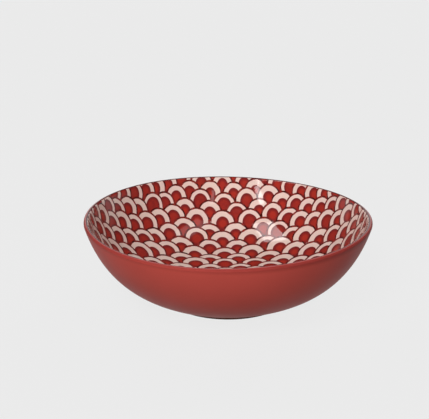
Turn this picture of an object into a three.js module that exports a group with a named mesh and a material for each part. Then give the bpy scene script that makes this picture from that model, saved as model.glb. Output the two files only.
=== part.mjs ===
// Salad bowl: a fired clay body with a bare foot ring, coated with a satin glaze outside, a glossy
// decorated glaze inside and over the lip, and a thin glaze in the hollow under the floor.
// Millimetres, +Z up. The origin is the centre of the foot ring on the table.

import * as THREE from 'three';

// Driving dimensions
const rimDiameter = 250;
const bowlHeight = 75;
const footDiameter = 109;
const footRingWidth = 6;
const footRingSlope = 1.5; // how far the ring's inner side leans towards the axis
const footEdgeRound = 0.6; // width and height of the eased edges of the bearing face
const footLift = 1.8; // height of the outer glaze's lower edge above the table
const footStep = 0.6; // how far that lower edge stands out from the ring
const undersideHeight = 2.2; // height of the glazed underside above the table
const floorThickness = 4.4; // at the axis, glaze included
const wallThickness = 4.2; // at the lip, glaze included
const heelThickening = 3; // added to the wall where it meets the foot
const glazeThickness = 0.4;
const fusionGap = 0.05; // kept between clay and glaze, which are fused on the real bowl
const wallAngleAtFoot = THREE.MathUtils.degToRad(30); // from horizontal
const wallAngleAtLip = THREE.MathUtils.degToRad(73);
const footCurveReach = 0.18; // how strongly each end angle shapes the wall, as a share of the wall's span
const lipCurveReach = 0.6;
const seamAngle = THREE.MathUtils.degToRad(60); // round the lip from the outside, where the two glazes meet

// Facets
const segments = 64;
const wallSteps = 9;
const floorSteps = 4;
const lipSteps = 3; // on each side of the seam

const footRadius = footDiameter / 2;
const lipRadius = wallThickness / 2;
const lipCentre = new THREE.Vector2(rimDiameter / 2 - lipRadius, bowlHeight - lipRadius);
const lipStartAngle = wallAngleAtLip - Math.PI / 2;
const lipTopAngle = Math.PI / 2;
const lipEndAngle = wallAngleAtLip + Math.PI / 2;
const glazeBack = glazeThickness - fusionGap; // depth of a glaze coat's face against the clay
const seamGapAngle = fusionGap / (lipRadius - glazeThickness);

const point = (radius, height) => new THREE.Vector2(radius, height);
const direction = (angle) => point(Math.cos(angle), Math.sin(angle));

/** Point on the rounded lip, `depth` below its glazed surface. */
function lipPoint(angle, depth) {
  return direction(angle).multiplyScalar(lipRadius - depth).add(lipCentre);
}

/** Outer face of the wall, from the glaze's lower edge up to the start of the lip. */
function makeOuterWall() {
  const start = point(footRadius + footStep, footLift);
  const end = lipPoint(lipStartAngle, 0);
  const span = start.distanceTo(end);
  const startHandle = direction(wallAngleAtFoot).multiplyScalar(footCurveReach * span).add(start);
  const endHandle = direction(wallAngleAtLip).multiplyScalar(-lipCurveReach * span).add(end);
  return new THREE.CubicBezierCurve(start, startHandle, endHandle, end);
}

const outerWall = makeOuterWall();

/** Point `depth` inside the outer face; `share` is 0 at the foot and 1 at the lip. */
function wallPoint(share, depth) {
  const inward = outerWall.getTangent(share).rotateAround(point(0, 0), Math.PI / 2);
  return inward.multiplyScalar(depth).add(outerWall.getPoint(share));
}

/** Full thickness of the wall, glaze included. */
const thicknessAt = (share) => wallThickness + heelThickening * (1 - share) ** 2;

/** `count + 1` values of `make` at even shares from 0 to 1. */
const sample = (count, make) => Array.from({ length: count + 1 }, (_, index) => make(index / count));

const outerFace = (depth) => sample(wallSteps, (share) => wallPoint(share, depth));

/** The lip from its widest point up to the seam. */
const outerLipFace = (depth) => sample(lipSteps, (share) => lipPoint(share * seamAngle, depth));

/** The lip from the seam, over its highest point, to just short of the inner wall. */
function innerLipFace(depth, seam) {
  const turn = lipEndAngle - lipTopAngle;
  const overTop = sample(lipSteps, (share) => lipPoint(lipTopAngle + share * turn, depth));
  return [lipPoint(seam, depth), ...overTop.slice(0, -1)];
}

/** Inner face from the seam, over the lip, down the wall and across the floor to the axis. */
function innerFace(depth, seam) {
  const wall = sample(wallSteps, (share) => wallPoint(1 - share, thicknessAt(1 - share) - depth));
  const heel = wall[wallSteps];
  const floorHeight = undersideHeight + floorThickness - depth;
  const slope = heel.clone().sub(wall[wallSteps - 1]);
  const bend = point(heel.x + (slope.x / slope.y) * (floorHeight - heel.y), floorHeight);
  const floorCurve = new THREE.QuadraticBezierCurve(heel, bend, point(0, floorHeight));
  const floor = sample(floorSteps, (share) => floorCurve.getPoint(share));
  return [...innerLipFace(depth, seam), ...wall, ...floor.slice(1)];
}

/** Inner side of the foot ring at a height above the table. */
function ringInnerSide(height) {
  const lean = footRingSlope * height / (undersideHeight + glazeThickness);
  return point(footRadius - footRingWidth - lean, height);
}

/** A solid of revolution about +Z from a profile of radius and height. */
function turned(name, profile, material) {
  const geometry = new THREE.LatheGeometry(profile, segments);
  geometry.rotateX(Math.PI / 2);
  const mesh = new THREE.Mesh(geometry, material);
  mesh.name = name;
  return mesh;
}

const bareClay = new THREE.MeshStandardMaterial({ color: 0x542d24, roughness: 0.9, metalness: 0 });
const satinRed = new THREE.MeshStandardMaterial({ color: 0xae463d, roughness: 0.5, metalness: 0 });
const glossyRed = new THREE.MeshStandardMaterial({ color: 0xb06258, roughness: 0.1, metalness: 0 });

/** The fired clay: wall, floor and foot ring in one piece, bare only at the foot. */
function stonewareBody() {
  const innerFoot = footRadius - footRingWidth;
  const profile = [
    point(0, undersideHeight + glazeThickness),
    ringInnerSide(undersideHeight + glazeThickness),
    ringInnerSide(undersideHeight),
    ringInnerSide(footEdgeRound),
    point(innerFoot + footEdgeRound, 0),
    point(footRadius - footEdgeRound, 0),
    point(footRadius, footEdgeRound),
    point(footRadius, footLift),
    ...outerFace(glazeThickness),
    ...outerLipFace(glazeThickness),
    ...innerFace(glazeThickness, seamAngle).slice(1),
  ];
  return turned('stoneware_body', profile, bareClay);
}

/** Satin coat from just above the foot, up the outside and round the widest part of the lip. */
function outerGlaze() {
  const surface = [...outerFace(0), ...outerLipFace(0)];
  const back = [...outerFace(glazeBack), ...outerLipFace(glazeBack)];
  return turned('outer_glaze', [...surface, ...back.reverse(), surface[0]], satinRed);
}

/** Glossy decorated coat over the lip and the whole inside, meeting the outer coat at the seam. */
function innerGlaze() {
  const seam = seamAngle + seamGapAngle;
  const back = innerFace(glazeBack, seam);
  return turned('inner_glaze', [...back.reverse(), ...innerFace(0, seam)], glossyRed);
}

/** Coat in the hollow inside the foot ring. */
function undersideGlaze() {
  const inset = point(-fusionGap, 0);
  const profile = [
    point(0, undersideHeight),
    ringInnerSide(undersideHeight).add(inset),
    ringInnerSide(undersideHeight + glazeBack).add(inset),
    point(0, undersideHeight + glazeBack),
  ];
  return turned('underside_glaze', profile, satinRed);
}

const bowl = new THREE.Group();
bowl.add(stonewareBody(), outerGlaze(), innerGlaze(), undersideGlaze());

export default bowl;
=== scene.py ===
"""Salad bowl: finely turned clay and glaze coats, their finishes, a plain studio and the camera.

Metres, +Z up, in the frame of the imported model: the bowl stands at z = 0 with its axis on Z.
"""

import math

import bpy
import numpy as np
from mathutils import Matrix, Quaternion, Vector


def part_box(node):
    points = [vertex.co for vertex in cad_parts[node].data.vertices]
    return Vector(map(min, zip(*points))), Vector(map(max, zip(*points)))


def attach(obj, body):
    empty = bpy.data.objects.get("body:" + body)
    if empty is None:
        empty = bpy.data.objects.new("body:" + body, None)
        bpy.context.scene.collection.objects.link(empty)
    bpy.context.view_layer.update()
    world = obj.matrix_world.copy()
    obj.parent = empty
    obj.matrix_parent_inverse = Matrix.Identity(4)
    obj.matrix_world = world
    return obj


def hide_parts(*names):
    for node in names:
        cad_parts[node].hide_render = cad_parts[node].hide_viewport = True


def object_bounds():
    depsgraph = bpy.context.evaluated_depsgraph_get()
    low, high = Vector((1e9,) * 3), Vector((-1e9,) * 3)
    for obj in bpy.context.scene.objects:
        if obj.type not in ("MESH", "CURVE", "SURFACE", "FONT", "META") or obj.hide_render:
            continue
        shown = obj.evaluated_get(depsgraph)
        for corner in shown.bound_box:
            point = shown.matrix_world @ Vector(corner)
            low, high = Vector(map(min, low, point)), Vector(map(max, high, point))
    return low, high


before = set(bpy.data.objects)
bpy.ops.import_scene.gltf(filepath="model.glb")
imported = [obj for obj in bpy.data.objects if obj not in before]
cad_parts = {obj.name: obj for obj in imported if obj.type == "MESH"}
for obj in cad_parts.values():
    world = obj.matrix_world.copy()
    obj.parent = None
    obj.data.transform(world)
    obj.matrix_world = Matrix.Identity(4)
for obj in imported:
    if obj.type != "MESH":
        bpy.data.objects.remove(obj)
cad_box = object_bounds()

MM = 0.001

# Shape of the bowl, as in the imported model
RIM_RADIUS = cad_box[1].x
HEIGHT = cad_box[1].z
FOOT_RADIUS = 54.5 * MM
FOOT_RING_WIDTH = 6 * MM
FOOT_RING_SLOPE = 1.5 * MM  # how far the ring's inner side leans towards the axis
FOOT_EDGE_ROUND = 0.6 * MM
FOOT_STEP = 0.6 * MM  # how far the outer glaze's lower edge stands out from the ring
FOOT_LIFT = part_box("outer_glaze")[0].z
UNDERSIDE_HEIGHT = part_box("underside_glaze")[0].z
FLOOR_THICKNESS = 4.4 * MM  # at the axis, glaze included
WALL_THICKNESS = 4.2 * MM  # at the lip, glaze included
HEEL_THICKENING = 3 * MM  # added to the wall where it meets the foot
GLAZE_THICKNESS = 0.4 * MM
FUSION_GAP = 0.05 * MM  # between clay and glaze
WALL_ANGLE_AT_FOOT = math.radians(30)  # from horizontal
WALL_ANGLE_AT_LIP = math.radians(73)
FOOT_CURVE_REACH = 0.18  # how strongly each end angle shapes the wall, as a share of its span
LIP_CURVE_REACH = 0.6
SEAM_ANGLE = math.radians(60)  # round the lip from the outside, where the two glazes meet
MENISCUS = 0.9 * MM  # how far the underside's glaze creeps down the foot ring

# A bowl settles a little in the kiln: its rim dips between two high points
RIM_DIP = 2.44 * MM
RIM_HIGH_BEARING = math.radians(-26.7)

# Facets
SEGMENTS = 192
WALL_STEPS = 36
FLOOR_STEPS = 14
LIP_STEPS = 16
EDGE_STEPS = 6

# The scale print, on a flat sheet that is laid over the inside from its centre
SCALE_PITCH = 27.5 * MM
ROW_PITCH = 10.3 * MM
SCALE_RADIUS = 13.9 * MM
OUTLINE_WIDTH = (1.2 * MM, 2.8 * MM)  # of the thinnest and thickest line between scales
CORE_RADIUS = 7.5 * MM
CORE_SHADE = (5.6 * MM, 0.6 * MM)  # where the core's darker edge starts and is darkest, from its edge
BAND_EDGE = 1.4 * MM  # how far the white bands are pinker at their edges
CORE_DROP = 1.1 * MM  # how much nearer a core's middle is than its scale's
CORE_HEIGHT_SHARE = 0.89  # of a core's distances from row to row, which makes it taller than wide
PAINT_BLUR = 0.25 * MM
SHEET_TURN = 0.046  # radians
SHEET_START = (27.3 * MM, 2.4 * MM)  # the sheet's zero, across and along, before it is gathered
SHEET_REACH = 150 * MM  # about how far the rim is from the middle when laid flat
RIM_GROWTH = 0.037  # of distances on the sheet towards the rim, which makes the print finer there
WIDTH_GROWTH = 0.0146  # of those across it towards the back
ROW_GROWTH = -0.029  # of those along it towards the back
ROW_SHIFT = 0.9 * MM  # even rows sit this much further back, and odd rows as much nearer
ACROSS_RANGE = 3.0 * MM  # how far hand drawing moves a scale from side to side
ALONG_RANGE = 4.0 * MM
RADIUS_RANGE = 1.4 * MM
CORE_RANGE = 2.0 * MM
WOBBLE = 1.0 * MM  # of the drawn lines
WOBBLE_LENGTH = 9 * MM
CLOUD_LENGTH = 5 * MM  # of the paint's darker and paler stretches
CLOUD_RANGE = (0.3, 0.7)  # over which the lines go from dark to pale
GRAIN_LENGTH = 1.2 * MM
GRAIN_STRENGTH = 0.25
HEEL_GATHER = 13 * MM  # how much of the sheet is gathered where it goes over the far heel
HEEL_REACH = (42 * MM, 74 * MM)  # flat distances from the middle over which the heel takes up the gathers
GATHER_FADE = (-70 * MM, 40 * MM)  # the gathering ends gently towards the near side
PRINT_EDGE = 1.2 * MM  # how far inside the middle of the lip the print stops

# The finishes
GLOSSY_ROUGHNESS = 0.06
GLOSSY_SPECULAR = 0.3
RIPPLE_LENGTH = 18 * MM
RIPPLE_DEPTH = 0.15 * MM
SATIN_ROUGHNESS = (0.4, 0.52)
SATIN_SPECULAR = 0.06
SATIN_CLOUD_LENGTH = 30 * MM
SPECK_LENGTH = 1.5 * MM
SPECK_DEPTH = 0.02 * MM
LOW_SHADE_HEIGHTS = (30 * MM, 2 * MM)  # painted shade: the satin glaze darkens from the first down to the second
LOW_SHADE_DARKNESS = 0.5
CLOUD_DARKNESS = 0.3
SPECK_DARKNESS = 0.2
SATIN_LIP_SHADE_DEPTHS = (8 * MM, 1.5 * MM)  # below the rim, between which the satin takes its painted shade at the lip
CLAY_ROUGHNESS = 0.85
CLAY_SPECULAR = 0.1
CLAY_GRAIN_LENGTH = 0.6 * MM
CLAY_GRAIN_DEPTH = 0.05 * MM
CLAY_PATCH_LENGTH = 8 * MM

# The photograph's view
IMAGE_WIDTH = 429
FOCAL_PIXELS = 1135.4
SENSOR_WIDTH = 36
ORBIT_CENTRE = Vector((0, 0, 40 * MM))
CAMERA_DISTANCE = 1.0
CAMERA_ELEVATION = 20.59  # degrees
CAMERA_AIM = Vector((-11.7 * MM, 0, 80.1 * MM))

# The studio
LAMP_DISTANCE = 4
LAMP_SIZE = 1.6
GLOSS_LAMP_DISTANCE = 1.7
FLOOR_RADIUS = 5
FLOOR_SEGMENTS = 96
HORIZON_HEIGHTS = (0.25, 0.05)  # of a unit direction, between which what is seen turns pale
BACKDROP_DEPTHS = (0.84, 0.94)

# The maps of each mesh
BAKE_MAP = "OFBake"
SHEET_MAP = "PrintSheet"
SHOWN_DISC = (0.5, 0.49)  # middle, both ways, and radius on the bake map
HIDDEN_DISC = (0.915, 0.075)


def linear(red, green, blue):
    """A colour on the usual scale of 0 to 255, as the linear values that the shaders use."""
    levels = [value / 255 for value in (red, green, blue)]
    return [((level + 0.055) / 1.055) ** 2.4 if level > 0.04 else level / 12.92 for level in levels] + [1]


PALE_GREY = linear(234, 234, 234)  # of the backdrop
FLOOR_GLOW = linear(254, 254, 254)  # what is seen of the floor
FILL_GREY = linear(50, 50, 50)  # of the light that comes from all round
FLOOR_BOUNCE = linear(108, 108, 108)  # the floor's own colour, which lights the bowl from below
OVERHEAD_GREY = linear(60, 60, 60)  # what the gloss shows of the room above
SHADOW_SHARE = 0.2  # how much of the floor's shading is seen
SATIN_RED = linear(178, 72, 63)
# the darker satin, for its clouds and specks and for the painted shade low down
SATIN_DARK = linear(151, 63, 55)
# painted shade on the satin at the lip
SATIN_LIP_SHADE = linear(134, 49, 44)
PRINT_CREAM = linear(216, 191, 180)
PRINT_PINK = linear(228, 189, 180)
PRINT_RED = linear(165, 46, 34)
PRINT_DEEP_RED = linear(112, 34, 34)
LINE_DARK = linear(50, 13, 12)
LINE_PALE = linear(134, 46, 41)
LIP_RED = linear(80, 27, 25)
# painted highlight along the lip's outer side
LIP_HIGHLIGHT_RED = linear(165, 78, 75)
# dark brown clay, partly painted shade for the shadowed foot ring
CLAY_WITH_SHADE = linear(96, 52, 42)
CLAY_DARK_WITH_SHADE = linear(72, 38, 31)


# Profiles are lists of points, each a radius and a height


def direction(angle):
    return np.array([math.cos(angle), math.sin(angle)])


LIP_RADIUS = WALL_THICKNESS / 2
LIP_CENTRE = np.array([RIM_RADIUS - LIP_RADIUS, HEIGHT - LIP_RADIUS])
LIP_START_ANGLE = WALL_ANGLE_AT_LIP - math.pi / 2
LIP_END_ANGLE = WALL_ANGLE_AT_LIP + math.pi / 2
LIP_HIGHLIGHT_REACH = 0.2 * LIP_RADIUS  # how far outside the middle of the lip its painted highlight is reached
GLAZE_BACK = GLAZE_THICKNESS - FUSION_GAP  # depth of a coat's face against the clay
SEAM_GAP_ANGLE = FUSION_GAP / (LIP_RADIUS - GLAZE_THICKNESS)


def lip_point(angle, depth):
    """Point on the rounded lip, `depth` below its glazed surface."""
    return LIP_CENTRE + (LIP_RADIUS - depth) * direction(angle)


def outer_wall_handles():
    """The four control points of the outer face's curve."""
    start = np.array([FOOT_RADIUS + FOOT_STEP, FOOT_LIFT])
    end = lip_point(LIP_START_ANGLE, 0)
    span = np.linalg.norm(end - start)
    start_handle = start + FOOT_CURVE_REACH * span * direction(WALL_ANGLE_AT_FOOT)
    end_handle = end - LIP_CURVE_REACH * span * direction(WALL_ANGLE_AT_LIP)
    return start, start_handle, end_handle, end


def wall_point(share, depth):
    """Point `depth` inside the outer face; `share` is 0 at the foot and 1 at the lip."""
    start, start_handle, end_handle, end = outer_wall_handles()
    rest = 1 - share
    place = rest**3 * start + 3 * rest**2 * share * start_handle
    place = place + 3 * rest * share**2 * end_handle + share**3 * end
    slope = rest**2 * (start_handle - start) + 2 * rest * share * (end_handle - start_handle)
    slope = slope + share**2 * (end - end_handle)
    slope = slope / np.linalg.norm(slope)
    return place + depth * np.array([-slope[1], slope[0]])


def thickness_at(share):
    return WALL_THICKNESS + HEEL_THICKENING * (1 - share) ** 2


def shares(steps):
    return np.linspace(0, 1, steps + 1)


def rounded(before, corner, after, steps=EDGE_STEPS):
    """Points of a curve that leaves `before` towards `corner` and bends round to `after`."""
    before, corner, after = (np.array(point) for point in (before, corner, after))
    return [(1 - t) ** 2 * before + 2 * t * (1 - t) * corner + t**2 * after for t in shares(steps)]


def outer_face(depth):
    return [wall_point(share, depth) for share in shares(WALL_STEPS)]


def outer_lip_face(depth):
    """The lip from the top of the outer wall, past its widest point, to the seam."""
    angles = np.linspace(LIP_START_ANGLE, SEAM_ANGLE, LIP_STEPS + 1)
    return [lip_point(angle, depth) for angle in angles[1:]]


def inner_face(depth, seam):
    """The inside from the seam, over the lip, down the wall and across the floor to the axis."""
    angles = np.linspace(seam, LIP_END_ANGLE, LIP_STEPS + 1)
    lip = [lip_point(angle, depth) for angle in angles[:-1]]
    wall = [wall_point(share, thickness_at(share) - depth) for share in shares(WALL_STEPS)[::-1]]
    heel = wall[-1]
    slope = heel - wall[-2]
    height = UNDERSIDE_HEIGHT + FLOOR_THICKNESS - depth
    bend = (heel[0] + slope[0] / slope[1] * (height - heel[1]), height)
    return lip + wall + rounded(heel, bend, (0, height), FLOOR_STEPS)[1:]


def ring_inner_side(height):
    """Point on the inner side of the foot ring."""
    lean = FOOT_RING_SLOPE * height / (UNDERSIDE_HEIGHT + GLAZE_THICKNESS)
    return np.array([FOOT_RADIUS - FOOT_RING_WIDTH - lean, height])


# Meshes


def settled(radius, height, bearing):
    """A place after the rim has dipped between its two high points, and the wall below it less."""
    drop = RIM_DIP * math.sin(bearing - RIM_HIGH_BEARING) ** 2
    x, y = radius * direction(bearing)
    return x, y, height - drop * (height / HEIGHT) ** 2


def laid_flat(profile):
    """How far each point of a profile is from the middle once the turned surface is laid flat."""
    lengths = np.linalg.norm(np.diff(profile, axis=0), axis=1)
    travelled = np.concatenate([[0], np.cumsum(lengths)])
    if profile[0][0] > profile[-1][0]:
        travelled = travelled[-1] - travelled
    return travelled + min(profile[0][0], profile[-1][0])


def smoothstep(value, low, high):
    share = min(max((value - low) / (high - low), 0), 1)
    return share**2 * (3 - 2 * share)


def print_place(reach, bearing):
    """Place on the print sheet of a point at that flat distance from the middle and that bearing."""
    grown = reach * (1 + RIM_GROWTH * (reach / SHEET_REACH) ** 2)
    across, along = grown * direction(bearing - SHEET_TURN)
    on_floor = 1 - smoothstep(reach, *HEEL_REACH)
    along -= HEEL_GATHER * on_floor * smoothstep(along, *GATHER_FADE)
    across -= SHEET_START[0]
    along -= SHEET_START[1]
    across *= 1 + WIDTH_GROWTH * along / SHEET_REACH
    along *= 1 + ROW_GROWTH * along / SHEET_REACH
    return across, along


def bake_place(share, bearing, disc):
    """Place on the bake map of a point at that share of the way from a disc's middle to its edge."""
    middle, radius = disc
    return middle + radius * share * direction(bearing)


def on_axis(point):
    return point[0] < FUSION_GAP / 2


def corners_between(first, second, segment):
    """Corners of one face, each as 0 or 1 for its ring and the number of its bearing."""
    corners = [(0, segment), (0, segment + 1), (1, segment + 1), (1, segment)]
    if on_axis(first):
        corners.pop(1)
    elif on_axis(second):
        corners.pop()
    return corners


def add_piece(name, places, faces, maps):
    """A smooth mesh object with those maps, each a place for every corner of every face."""
    mesh = bpy.data.meshes.new(name)
    mesh.from_pydata(places, [], faces)
    for layer, values in maps.items():
        mesh.uv_layers.new(name=layer).uv.foreach_set("vector", np.ravel(values))
    mesh.shade_smooth()
    piece = bpy.data.objects.new(name, mesh)
    bpy.context.scene.collection.objects.link(piece)
    return piece


def turned(name, shown, hidden):
    """A closed mesh turned about Z from the profile that shows and the hidden one that goes back."""
    loop = [*shown, *hidden]
    counts = [1 if on_axis(point) else SEGMENTS for point in loop]
    starts = np.cumsum([0, *counts]).tolist()
    bearings = np.linspace(0, 2 * math.pi, SEGMENTS + 1)
    places = [settled(*point, bearing) for point, n in zip(loop, counts) for bearing in bearings[:n]]
    faces, bake_places, sheet_places = [], [], []
    shown_strip = list(range(len(shown)))
    hidden_strip = [*range(len(shown) - 1, len(loop)), 0]
    for strip, disc in ((shown_strip, SHOWN_DISC), (hidden_strip, HIDDEN_DISC)):
        reach = laid_flat([loop[ring] for ring in strip])
        for step, pair in enumerate(zip(strip, strip[1:])):
            ends = [loop[ring] for ring in pair]
            if all(map(on_axis, ends)):
                continue
            for segment in range(SEGMENTS):
                corners = corners_between(*ends, segment)
                faces.append([starts[pair[side]] + turn % counts[pair[side]] for side, turn in corners])
                for side, turn in corners:
                    place = reach[step + side]
                    bake_places.append(bake_place(place / max(reach), bearings[turn], disc))
                    sheet_places.append(print_place(place, bearings[turn]))
    return add_piece(name, places, faces, {BAKE_MAP: bake_places, SHEET_MAP: sheet_places})


def foot_and_clay():
    """The fired clay, which shows only at the foot ring."""
    inner_foot = ring_inner_side(0)
    shown = [
        (0, UNDERSIDE_HEIGHT + GLAZE_THICKNESS),
        ring_inner_side(UNDERSIDE_HEIGHT + GLAZE_THICKNESS),
        *rounded(ring_inner_side(FOOT_EDGE_ROUND), inner_foot, inner_foot + (FOOT_EDGE_ROUND, 0)),
        *rounded((FOOT_RADIUS - FOOT_EDGE_ROUND, 0), (FOOT_RADIUS, 0), (FOOT_RADIUS, FOOT_EDGE_ROUND)),
        (FOOT_RADIUS, FOOT_LIFT),
    ]
    hidden = [
        *outer_face(GLAZE_THICKNESS),
        *outer_lip_face(GLAZE_THICKNESS),
        *inner_face(GLAZE_THICKNESS, SEAM_ANGLE)[1:],
    ]
    return turned("stoneware", shown, hidden)


def outer_coat():
    """Satin glaze from a rolled edge above the foot ring up to the seam on the lip."""
    surface = outer_face(0)
    back = outer_face(GLAZE_BACK) + outer_lip_face(GLAZE_BACK)
    edge_middle = (surface[0] + back[0]) / 2
    edge = rounded(back[0], edge_middle - GLAZE_BACK * direction(WALL_ANGLE_AT_FOOT) / 2, surface[0])
    return turned("satin_coat", [*edge, *surface[1:], *outer_lip_face(0)], back[:0:-1])


def inner_coat():
    """Glossy printed glaze from the seam on the lip to the middle of the floor."""
    seam = SEAM_ANGLE + SEAM_GAP_ANGLE
    return turned("printed_coat", inner_face(0, seam), inner_face(GLAZE_BACK, seam)[::-1])


def underside_coat():
    """Glaze in the foot's hollow, which creeps a little way down the inside of the ring."""
    corner = ring_inner_side(UNDERSIDE_HEIGHT)
    creep = rounded(corner - (MENISCUS, 0), corner, ring_inner_side(UNDERSIDE_HEIGHT - MENISCUS))
    inset = (-FUSION_GAP, 0)
    shown = [(0, UNDERSIDE_HEIGHT), *(point + inset for point in creep)]
    top = UNDERSIDE_HEIGHT + GLAZE_BACK
    return turned("underside_coat", shown, [ring_inner_side(top) + inset, (0, top)])


# Materials


class Nodes:
    """Short calls that add shader nodes to a tree."""

    def __init__(self, tree):
        self.tree = tree

    def feed(self, socket, value):
        if isinstance(value, bpy.types.NodeSocket):
            self.tree.links.new(value, socket)
        else:
            socket.default_value = value

    def add(self, kind, inputs=(), **settings):
        node = self.tree.nodes.new("ShaderNode" + kind)
        for name, value in settings.items():
            setattr(node, name, value)
        for socket, value in dict(inputs).items():
            self.feed(node.inputs[socket], value)
        return node

    def math(self, operation, *values):
        node = self.add("Math", enumerate(values), operation=operation)
        return node.outputs[0]

    def split(self, vector):
        return self.add("SeparateXYZ", {0: vector}).outputs

    def join(self, *values):
        return self.add("CombineXYZ", enumerate(values)).outputs[0]

    def length(self, *values):
        return self.add("VectorMath", {0: self.join(*values)}, operation="LENGTH").outputs["Value"]

    def ramp(self, value, low, high):
        """0 up to `low` and 1 past `high`, and smooth between them; `low` may be the larger."""
        inputs = {"Value": value, "From Min": low, "From Max": high}
        return self.add("MapRange", inputs, interpolation_type="SMOOTHSTEP").outputs["Result"]

    def between(self, share, low, high):
        """`low` where the share is 0 and `high` where it is 1, for plain numbers."""
        return self.math("MULTIPLY_ADD", share, high - low, low)

    def varied(self, value, chance, spread):
        """A value moved by up to half the spread either way."""
        start = self.math("ADD", value, -spread / 2)
        return self.math("MULTIPLY_ADD", chance, spread, start)

    # The mix node has sockets for each kind of value under the same names, so they go by number

    def blend(self, share, first, second):
        """`first` where the share is 0 and `second` where it is 1, for colours."""
        node = self.add("Mix", {0: share, 6: first, 7: second}, data_type="RGBA")
        return node.outputs[2]

    def choose(self, share, first, second):
        """As blend, for vectors."""
        node = self.add("Mix", {0: share, 4: first, 5: second}, data_type="VECTOR")
        return node.outputs[1]

    def noise(self, vector, length, detail=2):
        """Noise from 0 to 1 whose blobs are about that length across."""
        node = self.add("TexNoise", {"Vector": vector, "Scale": 1 / length, "Detail": detail})
        return node.outputs[0]

    def seen_directly(self):
        """1 for rays from the camera or from a mirror or glass, and 0 for those that light things."""
        path = self.add("LightPath").outputs
        mirrored = self.math("MAXIMUM", path["Is Glossy Ray"], path["Is Transmission Ray"])
        return self.math("MAXIMUM", path["Is Camera Ray"], mirrored)


class Finish(Nodes):
    """One material."""

    def __init__(self, name):
        self.material = bpy.data.materials.new(name)
        self.material.use_nodes = True
        super().__init__(self.material.node_tree)
        self.surface = self.tree.nodes["Principled BSDF"]

    def place(self):
        return self.add("TexCoord").outputs["Object"]

    def bump(self, height, depth):
        """Feeds the surface a bump of that depth for heights from 0 to 1."""
        node = self.add("Bump", {"Height": height, "Distance": depth})
        self.feed(self.surface.inputs["Normal"], node.outputs[0])

    def complete(self, colour, roughness, specular):
        """Feeds the surface its main values and hands over the finished material."""
        values = {"Base Color": colour, "Roughness": roughness, "Specular IOR Level": specular}
        for name, value in values.items():
            self.feed(self.surface.inputs[name], value)
        return self.material


def chances_of(finish, column, row):
    """Four random values from 0 to 1 that belong to the scale in that column and row."""
    cell = finish.join(finish.math("ADD", column, 0.5), finish.math("ADD", row, 0.5), 0)
    chance = finish.add("TexWhiteNoise", {"Vector": cell}, noise_dimensions="2D").outputs
    return [*finish.split(chance["Color"]), chance["Value"]]


def scale_at(finish, across, along, row):
    """How far inside its edge and its core a point lies, for the nearest scale of a row, and its tone."""
    odd = finish.math("FLOORED_MODULO", row, 2)
    shift = finish.math("MULTIPLY", odd, SCALE_PITCH / 2)
    from_first = finish.math("DIVIDE", finish.math("SUBTRACT", across, shift), SCALE_PITCH)
    column = finish.math("FLOOR", finish.math("ADD", from_first, 0.5))
    across_chance, along_chance, radius_chance, core_chance = chances_of(finish, column, row)
    middle = finish.math("MULTIPLY_ADD", column, SCALE_PITCH, shift)
    middle = finish.varied(middle, across_chance, ACROSS_RANGE)
    row_middle = finish.math("MULTIPLY_ADD", row, ROW_PITCH, ROW_SHIFT)
    row_middle = finish.math("MULTIPLY_ADD", odd, -2 * ROW_SHIFT, row_middle)
    row_middle = finish.varied(row_middle, along_chance, ALONG_RANGE)
    sideways = finish.math("SUBTRACT", across, middle)
    upwards = finish.math("SUBTRACT", along, row_middle)
    core_upwards = finish.math("MULTIPLY", finish.math("ADD", upwards, CORE_DROP), CORE_HEIGHT_SHARE)
    edge_radius = finish.varied(SCALE_RADIUS, radius_chance, RADIUS_RANGE)
    core_radius = finish.varied(CORE_RADIUS, core_chance, CORE_RANGE)
    edge_gap = finish.math("SUBTRACT", edge_radius, finish.length(sideways, upwards))
    core_gap = finish.math("SUBTRACT", core_radius, finish.length(sideways, core_upwards))
    return edge_gap, core_gap, core_chance


def scale_on_top(finish, across, along):
    """As scale_at, for the nearest of the rows whose scales cover a point."""
    row_below = finish.math("FLOOR", finish.math("DIVIDE", along, ROW_PITCH))
    picked = finish.join(0, 0, 0)
    for rows_up in (2, 1, 0, -1):  # nearer rows lie over those behind them
        row = finish.math("ADD", row_below, rows_up)
        edge_gap, core_gap, tone = scale_at(finish, across, along, row)
        covers = finish.math("GREATER_THAN", edge_gap, 0)
        picked = finish.choose(covers, picked, finish.join(edge_gap, core_gap, tone))
    return finish.split(picked)


def within(finish, gap):
    """0 outside a painted edge and 1 inside it, slightly blurred."""
    return finish.ramp(gap, -PAINT_BLUR, PAINT_BLUR)


def white_ink(finish, line_gap, core_gap):
    """Warm white, which is pinker along both edges of its band."""
    in_band = finish.math(
        "MULTIPLY",
        finish.ramp(line_gap, 0, BAND_EDGE),
        finish.ramp(core_gap, 0, -BAND_EDGE),
    )
    return finish.blend(in_band, PRINT_PINK, PRINT_CREAM)


def red_ink(finish, core_gap, tone, cloud):
    """Red, which is deeper in clouds and towards the edge of its core."""
    depth = finish.math("MULTIPLY", tone, cloud)
    depth = finish.math("MAXIMUM", depth, finish.ramp(core_gap, *CORE_SHADE))
    return finish.blend(depth, PRINT_RED, PRINT_DEEP_RED)


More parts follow.
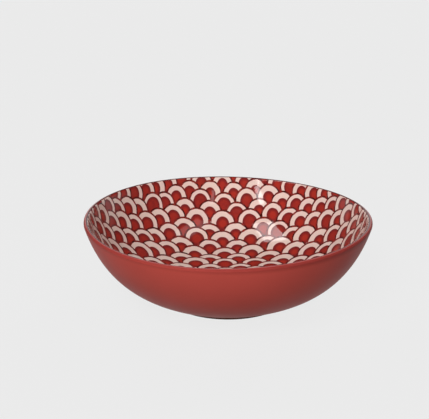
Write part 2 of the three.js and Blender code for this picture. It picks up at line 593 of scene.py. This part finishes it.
def scale_print(finish, sheet):
    """Overlapping scales: white bands round red cores, with dark lines between."""
    across, along, _ = finish.split(sheet)
    edge_gap, core_gap, tone = scale_on_top(finish, across, along)
    shake = finish.between(finish.noise(sheet, WOBBLE_LENGTH), -WOBBLE / 2, WOBBLE / 2)
    edge_gap = finish.math("ADD", edge_gap, shake)
    core_gap = finish.math("ADD", core_gap, shake)
    cloud = finish.noise(sheet, CLOUD_LENGTH)
    line_gap = finish.math("SUBTRACT", edge_gap, finish.between(cloud, *OUTLINE_WIDTH))
    white = white_ink(finish, line_gap, core_gap)
    red = red_ink(finish, core_gap, tone, cloud)
    line = finish.blend(finish.ramp(cloud, *CLOUD_RANGE), LINE_DARK, LINE_PALE)
    colour = finish.blend(within(finish, core_gap), white, red)
    colour = finish.blend(within(finish, line_gap), line, colour)
    grain = finish.noise(sheet, GRAIN_LENGTH, detail=3)
    return finish.blend(finish.math("MULTIPLY", grain, GRAIN_STRENGTH), colour, LINE_DARK)


def edged_by_lip(finish, colour):
    """That colour inside the bowl, dark red on top of the lip and a paler red painted highlight outside
    its middle.
    """
    x, y, _ = finish.split(finish.place())
    from_lip = finish.math("SUBTRACT", finish.length(x, y), LIP_CENTRE[0])
    on_lip = within(finish, finish.math("ADD", from_lip, PRINT_EDGE))
    colour = finish.blend(on_lip, colour, LIP_RED)
    # Painted highlight: paler red on the lip's outer side
    return finish.blend(finish.ramp(from_lip, 0, LIP_HIGHLIGHT_REACH), colour, LIP_HIGHLIGHT_RED)


def printed_glaze():
    """Clear, slightly rippled gloss over the print and the lip."""
    finish = Finish("printed_glaze")
    sheet = finish.add("UVMap", uv_map=SHEET_MAP).outputs[0]
    colour = edged_by_lip(finish, scale_print(finish, sheet))
    finish.bump(finish.noise(finish.place(), RIPPLE_LENGTH), RIPPLE_DEPTH)
    return finish.complete(colour, GLOSSY_ROUGHNESS, GLOSSY_SPECULAR)


def satin_glaze():
    """Red satin with faint clouds and specks, and painted shade that darkens it low down and near the lip.
    """
    finish = Finish("satin_glaze")
    place = finish.place()
    height = finish.split(place)[2]
    clouds = finish.noise(place, SATIN_CLOUD_LENGTH, detail=3)
    specks = finish.noise(place, SPECK_LENGTH)
    darkness = finish.math("MULTIPLY", clouds, CLOUD_DARKNESS)
    # Painted shade: the satin darkens towards the foot
    darkness = finish.math("MULTIPLY_ADD", finish.ramp(height, *LOW_SHADE_HEIGHTS), LOW_SHADE_DARKNESS, darkness)
    darkness = finish.math("MULTIPLY_ADD", specks, SPECK_DARKNESS, darkness)
    colour = finish.blend(darkness, SATIN_RED, SATIN_DARK)
    # Painted shade: the satin darkens on the lip's upper side
    near_lip = finish.ramp(height, *(HEIGHT - depth for depth in SATIN_LIP_SHADE_DEPTHS))
    colour = finish.blend(near_lip, colour, SATIN_LIP_SHADE)
    finish.bump(specks, SPECK_DEPTH)
    return finish.complete(colour, finish.between(clouds, *SATIN_ROUGHNESS), SATIN_SPECULAR)


def bare_clay():
    """Unglazed fired clay, grainy and matte; its dark brown is partly painted shade for the foot ring."""
    finish = Finish("bare_clay")
    place = finish.place()
    grain = finish.noise(place, CLAY_GRAIN_LENGTH, detail=4)
    patches = finish.noise(place, CLAY_PATCH_LENGTH)
    mean = finish.math("MULTIPLY", finish.math("ADD", patches, grain), 0.5)
    finish.bump(grain, CLAY_GRAIN_DEPTH)
    return finish.complete(finish.blend(mean, CLAY_WITH_SHADE, CLAY_DARK_WITH_SHADE), CLAY_ROUGHNESS, CLAY_SPECULAR)


# Studio


def light_side(azimuth, elevation):
    """Direction from the bowl; azimuth 0 is the camera's side and grows to the camera's right."""
    azimuth, elevation = math.radians(azimuth), math.radians(elevation)
    flat = math.cos(elevation)
    return Vector((math.sin(azimuth) * flat, -math.cos(azimuth) * flat, math.sin(elevation)))


def area_lamp(name, azimuth, elevation, distance, size, watts, lean=0):
    """A rectangular lamp that faces the bowl, turned by its lean."""
    data = bpy.data.lights.new(name, "AREA")
    data.shape = "RECTANGLE"
    data.size, data.size_y = size
    data.energy = watts
    lamp = bpy.data.objects.new(name, data)
    side = light_side(azimuth, elevation)
    lamp.location = side * distance
    lamp.rotation_mode = "QUATERNION"
    turn = Quaternion((0, 0, 1), math.radians(lean))
    lamp.rotation_quaternion = (-side).to_track_quat("-Z", "Y") @ turn
    bpy.context.scene.collection.objects.link(lamp)
    return lamp


def soft_lamp(name, azimuth, elevation, watts):
    """A large lamp that lights the bowl and doesn't show in its gloss."""
    lamp = area_lamp(name, azimuth, elevation, LAMP_DISTANCE, (LAMP_SIZE, LAMP_SIZE), watts)
    lamp.visible_glossy = False


def gloss_lamp(name, azimuth, elevation, size, watts, lean=0):
    """A small lamp that only shows in the gloss, and lights nothing else."""
    lamp = area_lamp(name, azimuth, elevation, GLOSS_LAMP_DISTANCE, size, watts, lean)
    lamp.visible_diffuse = False


def floor_material():
    """Pale floor. What is seen of it is mostly its own colour, so that the shadow stays light."""
    finish = Finish("studio_floor")
    finish.complete(FLOOR_BOUNCE, roughness=1, specular=0)
    glow = finish.add("Emission", {"Color": FLOOR_GLOW})
    share = finish.math("MULTIPLY", finish.seen_directly(), 1 - SHADOW_SHARE)
    mix = finish.add("MixShader", {0: share, 1: finish.surface.outputs[0], 2: glow.outputs[0]})
    finish.feed(finish.tree.nodes["Material Output"].inputs["Surface"], mix.outputs[0])
    return finish.material


def make_floor():
    bpy.ops.mesh.primitive_circle_add(vertices=FLOOR_SEGMENTS, radius=FLOOR_RADIUS, fill_type="NGON")
    floor = bpy.context.object
    floor.name = "studio_floor"
    floor.data.materials.append(floor_material())


def make_world():
    """Even grey light. What is seen of it is pale near the horizon and behind the bowl, else dim."""
    world = bpy.data.worlds.new("studio")
    world.use_nodes = True
    nodes = Nodes(world.node_tree)
    _, depth, height = nodes.split(nodes.add("TexCoord").outputs["Generated"])
    near_horizon = nodes.ramp(height, *HORIZON_HEIGHTS)
    on_backdrop = nodes.ramp(depth, *BACKDROP_DEPTHS)
    pale = nodes.math("MAXIMUM", near_horizon, on_backdrop)
    seen = nodes.blend(pale, OVERHEAD_GREY, PALE_GREY)
    colour = nodes.blend(nodes.seen_directly(), FILL_GREY, seen)
    nodes.feed(nodes.tree.nodes["Background"].inputs["Color"], colour)
    bpy.context.scene.world = world


def make_camera():
    data = bpy.data.cameras.new("photo_camera")
    data.sensor_width = SENSOR_WIDTH
    data.lens = FOCAL_PIXELS / IMAGE_WIDTH * SENSOR_WIDTH
    camera = bpy.data.objects.new("photo_camera", data)
    camera.location = ORBIT_CENTRE + CAMERA_DISTANCE * light_side(0, CAMERA_ELEVATION)
    camera.rotation_mode = "QUATERNION"
    camera.rotation_quaternion = (CAMERA_AIM - camera.location).to_track_quat("-Z", "Y")
    bpy.context.scene.collection.objects.link(camera)
    bpy.context.scene.camera = camera


def dress(piece, node, material):
    """Gives a piece its finish and puts it in place of its CAD node."""
    piece.data.materials.append(material)
    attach(piece, "root")
    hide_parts(node)


satin = satin_glaze()
dress(foot_and_clay(), "stoneware_body", bare_clay())
dress(outer_coat(), "outer_glaze", satin)
dress(inner_coat(), "inner_glaze", printed_glaze())
dress(underside_coat(), "underside_glaze", satin)

make_floor()
make_world()
make_camera()

# Each lamp with its azimuth and elevation as seen from the bowl
soft_lamp("key", -20, 45, watts=125)
soft_lamp("front_fill", -18, 12, watts=38)
soft_lamp("middle_fill", 0, 25, watts=61)
soft_lamp("top_right", 60, 70, watts=8)
soft_lamp("low_right", 152, 8, watts=32)
soft_lamp("low_left", -152, 8, watts=30)
soft_lamp("back_right", 150, 35, watts=40)
soft_lamp("back_left", -150, 35, watts=34)
gloss_lamp("tall_strip", -31, 34.5, (0.12, 0.54), watts=3.2, lean=28)
gloss_lamp("left_box", -92, 67, (0.9, 0.42), watts=11)
gloss_lamp("right_strip", 17, 39, (0.08, 0.5), watts=0.5, lean=-15)
gloss_lamp("right_box", 75, 68, (0.8, 0.35), watts=1.6)

bpy.context.scene.view_settings.view_transform = "Standard"
